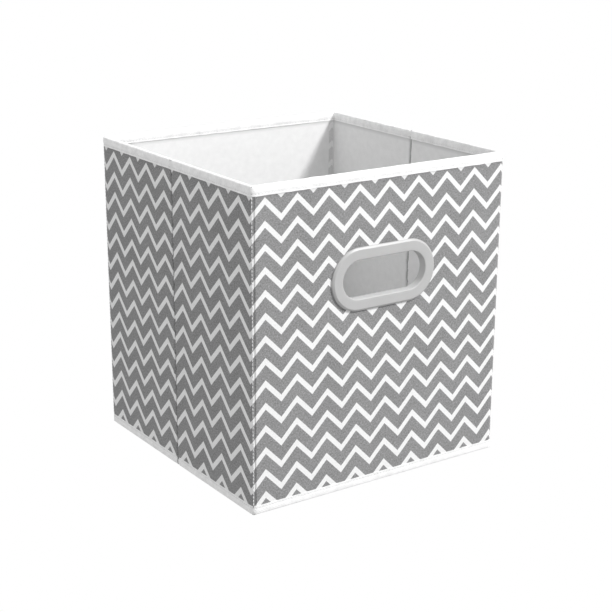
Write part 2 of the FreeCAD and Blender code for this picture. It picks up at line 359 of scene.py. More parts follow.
# The stretches that a cloth is made in: the run each covers, and the wall or fold that it follows.
STRETCHES = {
    "back": ((RUN_OF["back_right"] - CORNER_RADIUS, -DEPTH - CORNER_REACH), "back_wall"),
    "back_left_corner": ((-DEPTH - CORNER_REACH, CORNER_REACH - DEPTH), "back_left"),
    "left": ((CORNER_REACH - DEPTH, -CORNER_REACH), "left_crease"),
    "front_left_corner": ((-CORNER_REACH, CORNER_REACH), "front_left"),
    "front": ((CORNER_REACH, WIDTH - CORNER_REACH), "front_wall"),
    "front_right_corner": ((WIDTH - CORNER_REACH, WIDTH + CORNER_REACH), "front_right"),
    "right": ((WIDTH + CORNER_REACH, WRAP_END), "right_crease"),
}
HALVES = {"left": ("left_front_", "left_rear_"), "right": ("right_front_", "right_rear_"),
          "front": ("front_",), "back": ("back_",)}


def follow(piece, guide):
    """Lets a piece move with a wall; a piece on a fold only has its placing baked into its mesh."""
    if guide in FOLDS:
        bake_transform(piece)
    else:
        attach(piece, guide)


def stand_for(stretch, layer):
    """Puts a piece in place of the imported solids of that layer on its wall."""
    if stretch in HALVES:
        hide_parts(*(half + layer for half in HALVES[stretch]))


# Plain weave: each yarn rises over every second one it meets, with slubs that run along both yarns.
canvas_weave, given, out = effect_group("canvas_weave", {"Place": None, "Yarn Pitch": 0.0005},
                                        ["Height", "Slub"])
split = add_node(canvas_weave, "ShaderNodeSeparateXYZ", {"Vector": given["Place"]}).outputs
half_turn = sums(canvas_weave, "DIVIDE", math.pi, given["Yarn Pitch"])
waves = [sums(canvas_weave, "SINE", sums(canvas_weave, "MULTIPLY", split[axis], half_turn))
         for axis in (0, 1)]
crossing = sums(canvas_weave, "MULTIPLY_ADD", sums(canvas_weave, "MULTIPLY", *waves), 0.5, 0.5)
slubs = []
for stretch in ((0.4, 1.0, 1.0), (1.0, 0.4, 1.0)):
    drawn = add_node(canvas_weave, "ShaderNodeMapping", {"Vector": given["Place"], "Scale": stretch})
    slubs.append(add_node(canvas_weave, "ShaderNodeTexNoise",
                          {"Vector": drawn.outputs[0], "Scale": 1300.0, "Detail": 2.0}).outputs[0])
slub = sums(canvas_weave, "MULTIPLY", sums(canvas_weave, "ADD", *slubs), 0.5)
canvas_weave.links.new(sums(canvas_weave, "MULTIPLY_ADD", slub, 0.6, crossing), out["Height"])
canvas_weave.links.new(slub, out["Slub"])

# Zigzag print: white lines at 45 degrees, one above another, with edges that bleed a little.
REPEATS_ACROSS, LINES_UP = 8.5, 14.5
STRIPE_PERIOD = WIDTH / REPEATS_ACROSS
STRIPE_PITCH = RIM_HEIGHT / LINES_UP
zigzag_print, given, out = effect_group(
    "zigzag_print", {"Place": None, "Period": STRIPE_PERIOD, "Pitch": STRIPE_PITCH, "Swing": 0.797,
                     "Line Share": 0.317, "Bleed": 0.012}, ["Stripe"])
ragged = add_node(zigzag_print, "ShaderNodeTexNoise",
                  {"Vector": given["Place"], "Scale": 1400.0, "Detail": 2.0}).outputs[0]
split = add_node(zigzag_print, "ShaderNodeSeparateXYZ", {"Vector": given["Place"]}).outputs
across = sums(zigzag_print, "DIVIDE", split[0], given["Period"])
peak = sums(zigzag_print, "PINGPONG", across, 0.5)
height = sums(zigzag_print, "DIVIDE", split[1], given["Pitch"])
drop = sums(zigzag_print, "MULTIPLY", sums(zigzag_print, "MULTIPLY", peak, 2.0), given["Swing"])
level = sums(zigzag_print, "SUBTRACT", height, drop)
from_line = sums(zigzag_print, "PINGPONG", level, 0.5)
frayed = sums(zigzag_print, "MULTIPLY_ADD", sums(zigzag_print, "SUBTRACT", ragged, 0.5), 0.05, from_line)
half_line = sums(zigzag_print, "MULTIPLY", given["Line Share"], 0.5)
inside_line = sums(zigzag_print, "SUBTRACT", half_line, frayed)
edge = sums(zigzag_print, "DIVIDE", inside_line, given["Bleed"])
stripe = sums(zigzag_print, "MULTIPLY_ADD", edge, 0.5, 0.5, clamp=True)
zigzag_print.links.new(stripe, out["Stripe"])

# Pressed folds: painted shade darkens the cloth where it is pressed into a crease, beside a sewn corner or
# against a tape.
painted_fold_shade, given, out = effect_group("painted_fold_shade", {"Pressed": 0.0, "Cloud": 0.5, "Darkness": 0.6},
                                     ["Dust"])
patchy = sums(painted_fold_shade, "MULTIPLY_ADD", given["Cloud"], 0.8, 0.6)
shade_amount = sums(painted_fold_shade, "MULTIPLY", sums(painted_fold_shade, "MULTIPLY", given["Pressed"], patchy), given["Darkness"],
             clamp=True)
painted_fold_shade.links.new(shade_amount, out["Dust"])


def shade_folds(tree, colour, cloud, shade_colour, darkness):
    """The colour with painted shade added in the piece's pressed folds."""
    pressed = add_node(tree, "ShaderNodeAttribute", attribute_name="pressed").outputs["Fac"]
    fold_shade = use_group(tree, painted_fold_shade, Pressed=pressed, Cloud=cloud, Darkness=darkness)
    return blend_colour(tree, fold_shade["Dust"], colour, shade_colour)


INK_DARK, INK_LIGHT = (0.150, 0.150, 0.151), (0.360, 0.360, 0.362)
BARE_DARK, BARE_LIGHT = (0.74, 0.74, 0.74), (0.87, 0.87, 0.87)
# The dark grey below is painted shade in the pressed folds, and the colour of the needle holes.
SHADE_AND_HOLE_GREY = (0.05, 0.05, 0.05)
PRINT_SHIFT = (0.095 * STRIPE_PERIOD, -1.06 * STRIPE_PITCH, 0.0)   # where the corner and floor cut the print


def printed_finish(name, ink_dark, ink_light):
    """Woven cloth with the zigzag print in two shades of ink, and painted shade in its pressed folds."""
    material, tree, shader = finish_material(name, 0.9, Sheen_Weight=0.08, Sheen_Roughness=0.5,
                                             Specular_IOR_Level=0.2)
    wrap_place = add_node(tree, "ShaderNodeUVMap", uv_map="wrap").outputs[0]
    shifted = add_node(tree, "ShaderNodeVectorMath", {0: wrap_place, 1: PRINT_SHIFT}, operation="ADD")
    weave = use_group(tree, canvas_weave, Place=wrap_place)
    stripes = use_group(tree, zigzag_print, Place=shifted.outputs[0])
    worn = use_group(tree, fibre_mat, Place=wrap_place, Fibre_Scale=420.0, Cloud_Scale=30.0)
    yarn_tone = sums(tree, "MULTIPLY_ADD", sums(tree, "SUBTRACT", weave["Slub"], 0.5), 3.0, 0.5)
    clouded = sums(tree, "SUBTRACT", worn["Cloud"], 0.5)
    yarn_tone = sums(tree, "MULTIPLY_ADD", clouded, 0.4, yarn_tone, clamp=True)
    ink = blend_colour(tree, yarn_tone, ink_dark, ink_light)
    bare = blend_colour(tree, yarn_tone, BARE_DARK, BARE_LIGHT)
    printed = blend_colour(tree, stripes["Stripe"], ink, bare)
    # Painted shade in the pressed folds: the creases, beside the sewn corners and along the rim tape's lower
    # edge.
    fold_shaded = shade_folds(tree, printed, worn["Cloud"], SHADE_AND_HOLE_GREY, 0.8)
    tree.links.new(fold_shaded, shader.inputs["Base Color"])
    add_relief(tree, shader, weave["Height"], 0.00022, 0.55)
    return material


canvas = printed_finish("printed_canvas", INK_DARK, INK_LIGHT)

HAND_SLOT_LOW, HAND_SLOT_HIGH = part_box("front_handle_outer_ring")
HANDLE_RISE = (HAND_SLOT_LOW.z + HAND_SLOT_HIGH.z) / 2
SLOT_IN_CLOTH = (0.0966, 0.0411)        # length and height, hidden under the grommet flanges
HOLES = {"front": ((WIDTH / 2, HANDLE_RISE), *SLOT_IN_CLOTH),
         "back": ((-DEPTH - WIDTH / 2, HANDLE_RISE), *SLOT_IN_CLOTH)}
EASE = {"left": 2.0, "right": 2.0}
CELL = {"front": 0.003, "back": 0.003, "left": 0.0019, "right": 0.0019}
CORNER_CELL = 0.0006

canvas_pieces = {}
for stretch, (runs, guide) in STRETCHES.items():
    foot = WALLS_LOW.z if guide == "front_wall" else CANVAS_FOOT
    piece = cloth_grid("canvas_" + stretch, runs, (foot, CANVAS_TOP), (CELL.get(stretch, CORNER_CELL), 0.003),
                       lambda run, rise: (canvas_depth(run, rise), rise), EASE.get(stretch, 1.0),
                       HOLES.get(stretch), cloth_place=print_place, pressed=canvas_pressed)
    thicken(piece, CANVAS_THICKNESS)
    piece.data.materials.append(canvas)
    follow(piece, guide)
    stand_for(stretch, "outer_canvas")
    canvas_pieces[stretch] = piece

# ------------------------------------------------------------------ lining
# White non-woven cloth covers the inside of the boards. It is point-bonded, so it shows matted fibres
# and a fine grid of pressed dots, and it tucks into the gap between the boards at each side crease.

WALL_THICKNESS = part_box("front_lining")[1].y + HALF_DEPTH
LINING_THICKNESS = 0.0004

# Point-bonded cloth: matted fibres with a lattice of small pressed dots.
bonded_cloth, given, out = effect_group(
    "bonded_cloth", {"Place": None, "Dot Pitch": 0.0018, "Dot Size": 0.32}, ["Height", "Tone"])
mat = use_group(bonded_cloth, fibre_mat, Place=given["Place"], Fibre_Scale=800.0, Cloud_Scale=150.0)
cells = add_node(bonded_cloth, "ShaderNodeVectorMath", {0: given["Place"]}, operation="SCALE")
bonded_cloth.links.new(sums(bonded_cloth, "DIVIDE", 1.0, given["Dot Pitch"]), cells.inputs["Scale"])
turned = add_node(bonded_cloth, "ShaderNodeMapping", {"Vector": cells.outputs[0],
                                                      "Rotation": (0, 0, math.radians(45))})
split = add_node(bonded_cloth, "ShaderNodeSeparateXYZ", {"Vector": turned.outputs[0]}).outputs
sides = [sums(bonded_cloth, "PINGPONG", split[axis], 0.5) for axis in (0, 1)]
squares = [sums(bonded_cloth, "MULTIPLY", side, side) for side in sides]
radius = sums(bonded_cloth, "SQRT", sums(bonded_cloth, "ADD", *squares))
clear_of_dot = sums(bonded_cloth, "DIVIDE", radius, given["Dot Size"], clamp=True)
bonded_cloth.links.new(sums(bonded_cloth, "MULTIPLY_ADD", mat["Fibre"], 0.35,
                            sums(bonded_cloth, "MULTIPLY", clear_of_dot, 0.65)), out["Height"])
between_dots = sums(bonded_cloth, "MULTIPLY", clear_of_dot, 0.2)
tone = sums(bonded_cloth, "MULTIPLY_ADD", mat["Cloud"], 1.2, between_dots)
tone = sums(bonded_cloth, "SUBTRACT", tone, 0.4)
bonded_cloth.links.new(sums(bonded_cloth, "MULTIPLY_ADD", mat["Fibre"], 0.4, tone, clamp=True), out["Tone"])


# Needle holes: a row of small dark pits along a seam, at that height up the cloth, a stitch apart.
needle_holes, given, out = effect_group("needle_holes", {"Place": None, "Row": 0.0, "Step": 0.0033,
                                                         "Hole Size": 0.0006}, ["Hole"])
split = add_node(needle_holes, "ShaderNodeSeparateXYZ", {"Vector": given["Place"]}).outputs
half_step = sums(needle_holes, "MULTIPLY", given["Step"], 0.5)
beside = sums(needle_holes, "PINGPONG", split[0], half_step)
above = sums(needle_holes, "MULTIPLY", sums(needle_holes, "SUBTRACT", split[1], given["Row"]), 1.6)
squares = [sums(needle_holes, "MULTIPLY", side, side) for side in (beside, above)]
away = sums(needle_holes, "DIVIDE", sums(needle_holes, "SQRT", sums(needle_holes, "ADD", *squares)),
            given["Hole Size"])
needle_holes.links.new(sums(needle_holes, "SUBTRACT", 1.0, away, clamp=True), out["Hole"])


def bonded_finish(name, dark, light, dot_pitch, relief, rows=()):
    """Non-woven cloth in two near whites, with its dots and relief, needle holes along those rows and painted
    shade in its pressed folds.
    """
    material, tree, shader = finish_material(name, 0.82, Sheen_Weight=0.1, Sheen_Roughness=0.6,
                                             Specular_IOR_Level=0.3)
    place = add_node(tree, "ShaderNodeUVMap", uv_map="wrap").outputs[0]
    cloth = use_group(tree, bonded_cloth, Place=place, Dot_Pitch=dot_pitch)
    colour = blend_colour(tree, cloth["Tone"], dark, light)
    for row in rows:
        holes = use_group(tree, needle_holes, Place=place, Row=row)
        colour = blend_colour(tree, sums(tree, "MULTIPLY", holes["Hole"], 0.85), colour, SHADE_AND_HOLE_GREY)
    # Painted shade in the pressed folds, strongest in the lining's side creases.
    colour = shade_folds(tree, colour, cloth["Tone"], SHADE_AND_HOLE_GREY, 0.9)
    tree.links.new(colour, shader.inputs["Base Color"])
    add_relief(tree, shader, cloth["Height"], relief, 0.6)
    return material


white_lining = bonded_finish("white_lining", (0.71, 0.71, 0.71), (0.80, 0.80, 0.80), 0.0016, 0.00012)


LINING_TUCK = 0.0021            # how far it goes into the gap between the boards
LOOSENESS, LINING_SLACK_REACH = 0.0006, 0.02


def lining_depth(run, rise):
    """Depth of the lining: pressed out into the side creases, loose and slightly full elsewhere."""
    crease, corner = crease_line(run, rise), corner_line(run)
    edges = max(0.0, min(1.0, min(crease, corner, CANVAS_TOP - rise) / LINING_SLACK_REACH))
    looseness = LOOSENESS * edges * (1 + unevenness(run, rise, 0.06, 7)) / 2
    return WALL_THICKNESS - LINING_TUCK * near(crease, 0.0010) + looseness


def lining_pressed(run, rise):
    """How hard the lining is pressed in, at the creases and, less, under the rim tape's edge; the finish
    paints shade there.
    """
    return max(near(crease_line(run, rise), 0.0009), 0.25 * near(rise - (RIM_HEIGHT - RIM_TAPE_DROP), 0.0006))


for stretch, (runs, guide) in STRETCHES.items():
    piece = cloth_grid("lining_" + stretch, runs, (CANVAS_FOOT, CANVAS_TOP),
                       (CELL.get(stretch, CORNER_CELL), 0.004),
                       lambda run, rise: (lining_depth(run, rise), rise), EASE.get(stretch, 1.0),
                       HOLES.get(stretch), faces_in=True, pressed=lining_pressed)
    thicken(piece, LINING_THICKNESS)
    piece.data.materials.append(white_lining)
    follow(piece, guide)
    stand_for(stretch, "lining")

# ------------------------------------------------------------------ rim tape
# A 20 mm strip of white bonded tape is folded over the canvas, boards and lining all round the rim
# and sewn through with one row of white thread, 2 mm above its lower edge on both faces.

TAPE_THICKNESS = 0.0005
RIM_ROUND = 0.0013
TAPED_THICKNESS = WALL_THICKNESS + 2 * TAPE_THICKNESS
RIM_LEG = RIM_TAPE_DROP - RIM_ROUND
RIM_ARC = RIM_ROUND * math.pi / 2
RIM_FLAT = TAPED_THICKNESS - 2 * RIM_ROUND
RIM_SECTION = 2 * (RIM_LEG + RIM_ARC) + RIM_FLAT
STITCH_UP = 0.0019              # the sewn row above the tape's lower edge
TAPE_SWELL = 0.00022            # how far the tape stands off above that row
STITCH_SINK, STITCH_SINK_WIDTH = 0.00015, 0.0005        # how deep and how wide the thread pulls it in
INNER_TUCK, OUTER_TUCK = 0.0019, 0.0009         # how far each face sinks between the boards at a crease


def rim_section(run, along):
    """Depth and rise of a point of the rim tape, that far along its section from the outer edge."""
    other_side = along > RIM_SECTION / 2
    reach = RIM_SECTION - along if other_side else along
    if reach < RIM_LEG:
        depth, rise = 0.0, reach
        above_row = min(1.0, max(0.0, (reach - STITCH_UP) / (RIM_LEG - STITCH_UP)))
        depth -= TAPE_SWELL * math.sin(math.pi * above_row)
        depth += STITCH_SINK * near(reach - STITCH_UP, STITCH_SINK_WIDTH)
    elif reach < RIM_LEG + RIM_ARC:
        turn = (reach - RIM_LEG) / RIM_ROUND
        depth, rise = RIM_ROUND * (1 - math.cos(turn)), RIM_LEG + RIM_ROUND * math.sin(turn)
    else:
        depth, rise = RIM_ROUND + reach - RIM_LEG - RIM_ARC, RIM_TAPE_DROP
        rise += 0.0003 * math.sin(math.pi * (depth - RIM_ROUND) / RIM_FLAT)
    depth = depth - TAPE_THICKNESS
    if other_side:
        depth = WALL_THICKNESS - depth
    crease = crease_line(run, rise)
    depth += (-INNER_TUCK if other_side else OUTER_TUCK) * near(crease, 0.0015)
    rise += 0.0003 * unevenness(run, 0, 0.011, 11) - 0.0006 * near(crease, 0.0016)
    puffed = 0.0003 * unevenness(run, rise, 0.007, 12) + 0.00015
    depth += puffed * min(1.0, crease / 0.006) * (1 if other_side else -1)
    return depth, RIM_HEIGHT - RIM_TAPE_DROP + rise


white_tape = bonded_finish("white_tape", (0.68, 0.68, 0.68), (0.98, 0.98, 0.98), 0.0020, 0.0004,
                           rows=(STITCH_UP, RIM_SECTION - STITCH_UP))

# Sewing thread: two plies twisted together, seen as slanted ridges along each stitch.
thread, tree, shader = finish_material("white_thread", 0.6, Sheen_Weight=0.2)
place = add_node(tree, "ShaderNodeTexCoord").outputs["Object"]
twist = add_node(tree, "ShaderNodeTexWave", {"Vector": place, "Scale": 1400.0, "Distortion": 1.0},
                 bands_direction="DIAGONAL").outputs["Fac"]
tree.links.new(blend_colour(tree, twist, (0.62, 0.62, 0.63), (0.90, 0.90, 0.90)), shader.inputs["Base Color"])
add_relief(tree, shader, twist, 0.00008)

STITCH_LENGTH, STITCH_GAP, THREAD_RADIUS = 0.0026, 0.0007, 0.00024


def stitch_row(name, start, end, point_at, radius=THREAD_RADIUS):
    """Stitches along a line: point_at gives the place of a point at a measure from start to end."""
    row = bmesh.new()
    count = max(1, int((end - start) / (STITCH_LENGTH + STITCH_GAP)))
    step = (end - start) / count
    for number in range(count):
        first = start + number * step + STITCH_GAP / 2
        ends = [point_at(first), point_at(first + step - STITCH_GAP)]
        along = ends[1] - ends[0]
        turn = along.to_track_quat("Z", "Y").to_matrix().to_4x4()
        for near_end in (0, 1):   # each half tapers to where the thread dives into the cloth
            middle = ends[0].lerp(ends[1], 0.25 + 0.5 * near_end)
            radii = (radius * 0.55, radius)
            bmesh.ops.create_cone(row, segments=6, radius1=radii[near_end], radius2=radii[1 - near_end],
                                  depth=along.length / 2, matrix=Matrix.Translation(middle) @ turn,
                                  cap_ends=True)
    bmesh.ops.remove_doubles(row, verts=row.verts, dist=0.00002)
    piece = make_piece(name, row)
    piece.data.materials.append(thread)
    return piece


INNER_ROW_MARGIN = 0.013        # the inner rows stop short of the rear right corner, which folds on itself
ROW_ENDS = {"back": (INNER_ROW_MARGIN, 0), "right": (0, INNER_ROW_MARGIN)}
for stretch, (runs, guide) in STRETCHES.items():
    piece = cloth_grid("rim_tape_" + stretch, runs, (0.0, RIM_SECTION),
                       (min(0.002, CELL.get(stretch, 0.001)), 0.0007), rim_section,
                       EASE.get(stretch, 1.0))
    thicken(piece, TAPE_THICKNESS * 0.9)
    piece.data.materials.append(white_tape)
    follow(piece, guide)
    stand_for(stretch, "rim_tape")
    for face, along in (("outer", STITCH_UP), ("inner", RIM_SECTION - STITCH_UP)):
        margins = ROW_ENDS.get(stretch, (0, 0)) if face == "inner" else (0, 0)
        row = stitch_row(f"rim_stitches_{face}_{stretch}", runs[0] + margins[0], runs[1] - margins[1],
                         lambda run, along=along: wall_point(run, *rim_section(run, along)))
        follow(row, guide)

# ------------------------------------------------------------------ corner stitching
# The canvas is pinched and edge-stitched down each upright corner, which keeps the corners square.
# The thread is white, in a single row from under the rim tape to the foot tape.

FOOT_TAPE_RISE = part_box("front_foot_tape")[1].z
HEAVY_THREAD = 0.00036
CORNER_ROWS = {"front_left": "front_left", "front_right": "front_right", "back_left": "back_left",
               "back_right": "back_wall"}
for corner, guide in CORNER_ROWS.items():
    row = stitch_row("corner_stitches_" + corner, FOOT_TAPE_RISE, RIM_HEIGHT - RIM_TAPE_DROP,
                     lambda rise, run=RUN_OF[corner]: wall_point(run, canvas_depth(run, rise), rise),
                     radius=HEAVY_THREAD)
    follow(row, guide)

# ------------------------------------------------------------------ foot tape
# The same white tape binds the seam where the walls meet the bottom panel. It lies flat against the
# canvas, turns under at the floor and is sewn with one row of thread near its upper edge.

FOOT_ROUND = 0.0009
FOOT_SWELL, FOOT_TUCK = 0.0002, 0.0009  # how far the tape stands off below its row, and sinks at a crease
CREASE_GAP = 0.0007             # each foot tape ends this far from its side's crease
FOOT_SPANS = {  # each wall's run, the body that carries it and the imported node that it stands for
    "back": ((STRETCHES["back"][0][0], -DEPTH + CORNER_RADIUS), "back_wall"),
    "left_rear": ((CORNER_RADIUS - DEPTH, RUN_OF["left_crease"] - CREASE_GAP), "left_rear_half"),
    "left_front": ((RUN_OF["left_crease"] + CREASE_GAP, -CORNER_RADIUS), "left_front_half"),
    "front": ((-CORNER_RADIUS, WIDTH + CORNER_RADIUS), "front_wall"),
    "right_front": ((WIDTH + CORNER_RADIUS, RUN_OF["right_crease"] - CREASE_GAP), "right_front_half"),
    "right_rear": ((RUN_OF["right_crease"] + CREASE_GAP, WRAP_END), "right_rear_half"),
}


def foot_section(run, along):
    """Depth and rise of a point of the foot tape, that far along its section from the floor edge."""
    turn = min(along / FOOT_ROUND, math.pi / 2)
    rise = 0.0001 + FOOT_ROUND * (1 - math.cos(turn)) + max(0.0, along - FOOT_ROUND * math.pi / 2)
    depth = FOOT_ROUND * (1 - math.sin(turn)) - TAPE_THICKNESS
    from_stitch = rise - (FOOT_TAPE_RISE - STITCH_UP)
    depth += STITCH_SINK * near(from_stitch, STITCH_SINK_WIDTH) - FOOT_SWELL * near(rise - 0.0035, 0.002)
    crease = crease_line(run, rise)
    depth += FOOT_TUCK * near(crease, 0.0026)
    return depth + 0.00015 * unevenness(run, rise, 0.01, 21) * min(1.0, crease / 0.01), rise


FOOT_SECTION = FOOT_TAPE_RISE - FOOT_ROUND + FOOT_ROUND * math.pi / 2
foot_tape = bonded_finish("white_foot_tape", (0.68, 0.68, 0.68), (0.95, 0.95, 0.95), 0.0020, 0.0005,
                          rows=(FOOT_SECTION - STITCH_UP,))
for wall, (runs, body) in FOOT_SPANS.items():
    piece = cloth_grid("foot_tape_" + wall, runs, (0.0, FOOT_SECTION), (0.0015, 0.0007), foot_section)
    thicken(piece, TAPE_THICKNESS * 0.8)
    piece.data.materials.append(foot_tape)
    row = stitch_row("foot_stitches_" + wall, runs[0] + STITCH_LENGTH, runs[1] - STITCH_LENGTH,
                     lambda run: wall_point(run, *foot_section(run, FOOT_SECTION - STITCH_UP)))
    for part in (piece, row):
        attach(part, body)
        if body != "front_wall":    # the sewn seam gathers up as the walls swing in; these pieces only get meshes of their own
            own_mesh(part)
    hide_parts(wall + "_foot_tape")

# ------------------------------------------------------------------ bottom panel
# A single layer of the printed canvas closes the bottom. Its edges are caught in the foot tape's
# seam. In the bin it gathers between the walls when folded flat; this piece only moves with the front wall.

PANEL_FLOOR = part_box("bottom_canvas_panel")[0].z
PANEL_MARGIN = 0.0004
panel_shape = bmesh.new()
bmesh.ops.create_grid(panel_shape, x_segments=88, y_segments=86, size=1.0)
panel_wrap = panel_shape.loops.layers.uv.new("wrap")
for vert in panel_shape.verts:
    vert.co.x *= HALF_WIDTH - PANEL_MARGIN
    vert.co.y *= HALF_DEPTH - PANEL_MARGIN
for face in panel_shape.faces:
    for corner in face.loops:
        corner[panel_wrap].uv = corner.vert.co.xy
for vert in panel_shape.verts:
    rise = 0.00012 * (1 + unevenness(vert.co.x, vert.co.y, 0.03, 31))
    vert.co.z = PANEL_FLOOR + rise * min(1.0, 100 * (HALF_DEPTH - abs(vert.co.y)))
bmesh.ops.reverse_faces(panel_shape, faces=panel_shape.faces)
panel = make_piece("bottom_panel", panel_shape)
thicken(panel, 0.0003)
panel.data.materials.append(canvas)
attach(panel, "front_wall")
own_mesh(panel)
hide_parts("bottom_canvas_panel")

# ------------------------------------------------------------------ seam strip
# Where the wrap is sewn shut, 6 mm of the printed canvas shows inside the rear right corner, as a
# strip on the back wall's lining. It is the seam allowance, turned in and stitched down.

STRIP_LOW, STRIP_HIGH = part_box("back_seam_strip")
strip_runs = [RUN_OF["back_right"] + HALF_WIDTH - edge.x for edge in (STRIP_HIGH, STRIP_LOW)]
# Its ink shows paler here, because this is the wrong side of the cloth.
canvas_reverse = printed_finish("canvas_reverse", (0.60, 0.60, 0.60), (0.72, 0.72, 0.72))
STRIP_DEPTH = HALF_DEPTH - STRIP_LOW.y
TUCKED_END = 0.001              # the strip's top, under the rim tape


def strip_place(run, rise):
    """Depth and rise of a point of the seam strip, which lies a little uneven on the lining."""
    return STRIP_DEPTH - 0.0001 * unevenness(run, rise, 0.02, 41), rise


strip = cloth_grid("seam_strip", strip_runs, (STRIP_LOW.z, STRIP_HIGH.z + TUCKED_END),
                   (CORNER_CELL, 0.003), strip_place, faces_in=True)
thicken(strip, 0.0003)
strip.data.materials.append(canvas_reverse)
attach(strip, "back_wall")
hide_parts("back_seam_strip")

# ------------------------------------------------------------------ hand-slot grommets
# Each hand slot is framed by a moulded grommet in light grey plastic: an outer ring whose sleeve
# passes through the wall, and an inner ring snapped over the sleeve. Both have rounded edges.

RING_LENGTH = HAND_SLOT_HIGH.x - HAND_SLOT_LOW.x
RING_HALF = (HAND_SLOT_HIGH.z - HAND_SLOT_LOW.z) / 2
SLOT_HALF = 0.01725
SLEEVE = 0.0016
OUTER_FLANGE = -HALF_DEPTH - HAND_SLOT_LOW.y
INNER_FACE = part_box("front_handle_inner_ring")[1].y + HALF_DEPTH
SHOULDER = 0.0018               # width of the slope round the outer ring's face
RING_REACH = RING_LENGTH / 2 - RING_HALF        # centre of each round end from the slot's middle


def rounded(corner, sweep, steps=6):
    """Points of a quarter round: the corner's inner centre, its radius, and start and end angles."""
    centre, radius = corner
    turns = [math.radians(sweep[0] + (sweep[1] - sweep[0]) * step / steps) for step in range(steps + 1)]
    return [(centre[0] + radius * math.cos(turn), centre[1] + radius * math.sin(turn)) for turn in turns]


# Sections in (distance from the slot's spine, depth in from the canvas face), round the solid.
OUTER_SECTION = (
    [(SLOT_HALF, INNER_FACE)]
    + rounded(((SLOT_HALF + 0.0010, -OUTER_FLANGE + 0.0010), 0.0010), (180, 270))
    + [(SLOT_HALF + 0.0030, -OUTER_FLANGE), (RING_HALF - SHOULDER, -OUTER_FLANGE + 0.00005)]
    + rounded(((RING_HALF - 0.0005, -OUTER_FLANGE + 0.0015), 0.0005), (-50, 0))
    + [(RING_HALF, 0.0), (SLOT_HALF + SLEEVE, 0.0), (SLOT_HALF + SLEEVE, INNER_FACE)]
)
INNER_SECTION = (
    [(SLOT_HALF + SLEEVE + 0.00015, WALL_THICKNESS), (RING_HALF, WALL_THICKNESS)]
    + rounded(((RING_HALF - 0.0012, INNER_FACE - 0.0012), 0.0012), (0, 90))
    + rounded(((SLOT_HALF + SLEEVE + 0.00075, INNER_FACE - 0.0006), 0.0006), (90, 180), 3)
)


def slot_ring(name, section, side):
    """A section carried round the slot: spun about each round end and extruded along the straights."""
    ring = bmesh.new()
    verts = [ring.verts.new((RING_REACH, depth, -radius)) for radius, depth in section]
    edges = [ring.edges.new((verts[i - 1], verts[i])) for i in range(len(verts))]
    profile = verts + edges
    for end in (1, -1):
        spun = bmesh.ops.spin(ring, geom=profile, cent=(end * RING_REACH, 0, 0), axis=(0, -1, 0),
                              dvec=(0, 0, 0), angle=math.pi, steps=28, use_duplicate=False)
        pulled = bmesh.ops.extrude_edge_only(
            ring, edges=[item for item in spun["geom_last"] if isinstance(item, bmesh.types.BMEdge)])
        moved = [item for item in pulled["geom"] if isinstance(item, bmesh.types.BMVert)]
        bmesh.ops.translate(ring, vec=(-2 * end * RING_REACH, 0, 0), verts=moved)
        profile = [item for item in pulled["geom"] if not isinstance(item, bmesh.types.BMFace)
                   and (isinstance(item, bmesh.types.BMVert) or all(v in moved for v in item.verts))]
    bmesh.ops.remove_doubles(ring, verts=ring.verts, dist=0.00001)
    bmesh.ops.recalc_face_normals(ring, faces=ring.faces)
    turn = Matrix.Rotation(0 if side < 0 else math.pi, 4, "Z")
    shift = Matrix.Translation((0, side * HALF_DEPTH, HANDLE_RISE))
    bmesh.ops.transform(ring, matrix=shift @ turn, verts=ring.verts)
    return make_piece(name, ring)


# Moulded plastic: a faint spark-eroded grain, a cloudy tone and streaky gloss.
grommet_plastic, tree, shader = finish_material("grommet_plastic", 0.38, Specular_IOR_Level=0.45)
place = add_node(tree, "ShaderNodeTexCoord").outputs["Object"]
rub = use_group(tree, fibre_mat, Place=place, Fibre_Scale=260.0, Cloud_Scale=70.0)
grain = add_node(tree, "ShaderNodeTexNoise", {"Vector": place, "Scale": 2600.0, "Detail": 2.0}).outputs[0]
tree.links.new(blend_colour(tree, rub["Cloud"], (0.42, 0.42, 0.419), (0.47, 0.47, 0.469)),
               shader.inputs["Base Color"])
gloss = sums(tree, "MULTIPLY_ADD", rub["Fibre"], 0.14, 0.34)
tree.links.new(gloss, shader.inputs["Roughness"])
add_relief(tree, shader, grain, 0.00004, 0.5)

for wall, side in (("front", -1), ("back", 1)):
    for half, section in (("outer", OUTER_SECTION), ("inner", INNER_SECTION)):
        ring = slot_ring(f"grommet_{half}_{wall}", section, side)
        ring.data.materials.append(grommet_plastic)
        soften = ring.modifiers.new("crisp_edges", "EDGE_SPLIT")
        soften.split_angle = math.radians(24)
        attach(ring, wall + "_wall")
        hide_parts(f"{wall}_handle_{half}_ring")

# ------------------------------------------------------------------ loose base
# The base insert is a chipboard sheet sewn into a sleeve of the white lining cloth. It lies loose on
# the bottom panel and keeps it flat. One long edge of the sleeve is closed with a row of stitches.

BASE_LOW, BASE_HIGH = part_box("base_insert_cover")
BASE_MIDDLE = (BASE_LOW + BASE_HIGH) / 2
BASE_SIZE = BASE_HIGH - BASE_LOW
COVER_CORNER, COVER_EDGE = 0.0009, 0.0008       # rounding, small enough to keep the board inside
COVER_CUTS = 16                 # cuts in each half, so that the top can be uneven
BASE_STITCH_INSET = Vector((0.008, 0.006))
base_shape = bmesh.new()
bmesh.ops.create_cube(base_shape, size=1.0, matrix=Matrix.Translation(BASE_MIDDLE)
                      @ Matrix.Diagonal((*BASE_SIZE, 1.0)))
uprights = [e for e in base_shape.edges if abs(e.verts[0].co.z - e.verts[1].co.z) > BASE_SIZE.z / 2]
bmesh.ops.bevel(base_shape, geom=uprights, offset=COVER_CORNER, segments=4, profile=0.5, affect="EDGES",
                material=-1)
borders = [e for e in base_shape.edges if abs(e.verts[0].co.z - e.verts[1].co.z) < 1e-6]
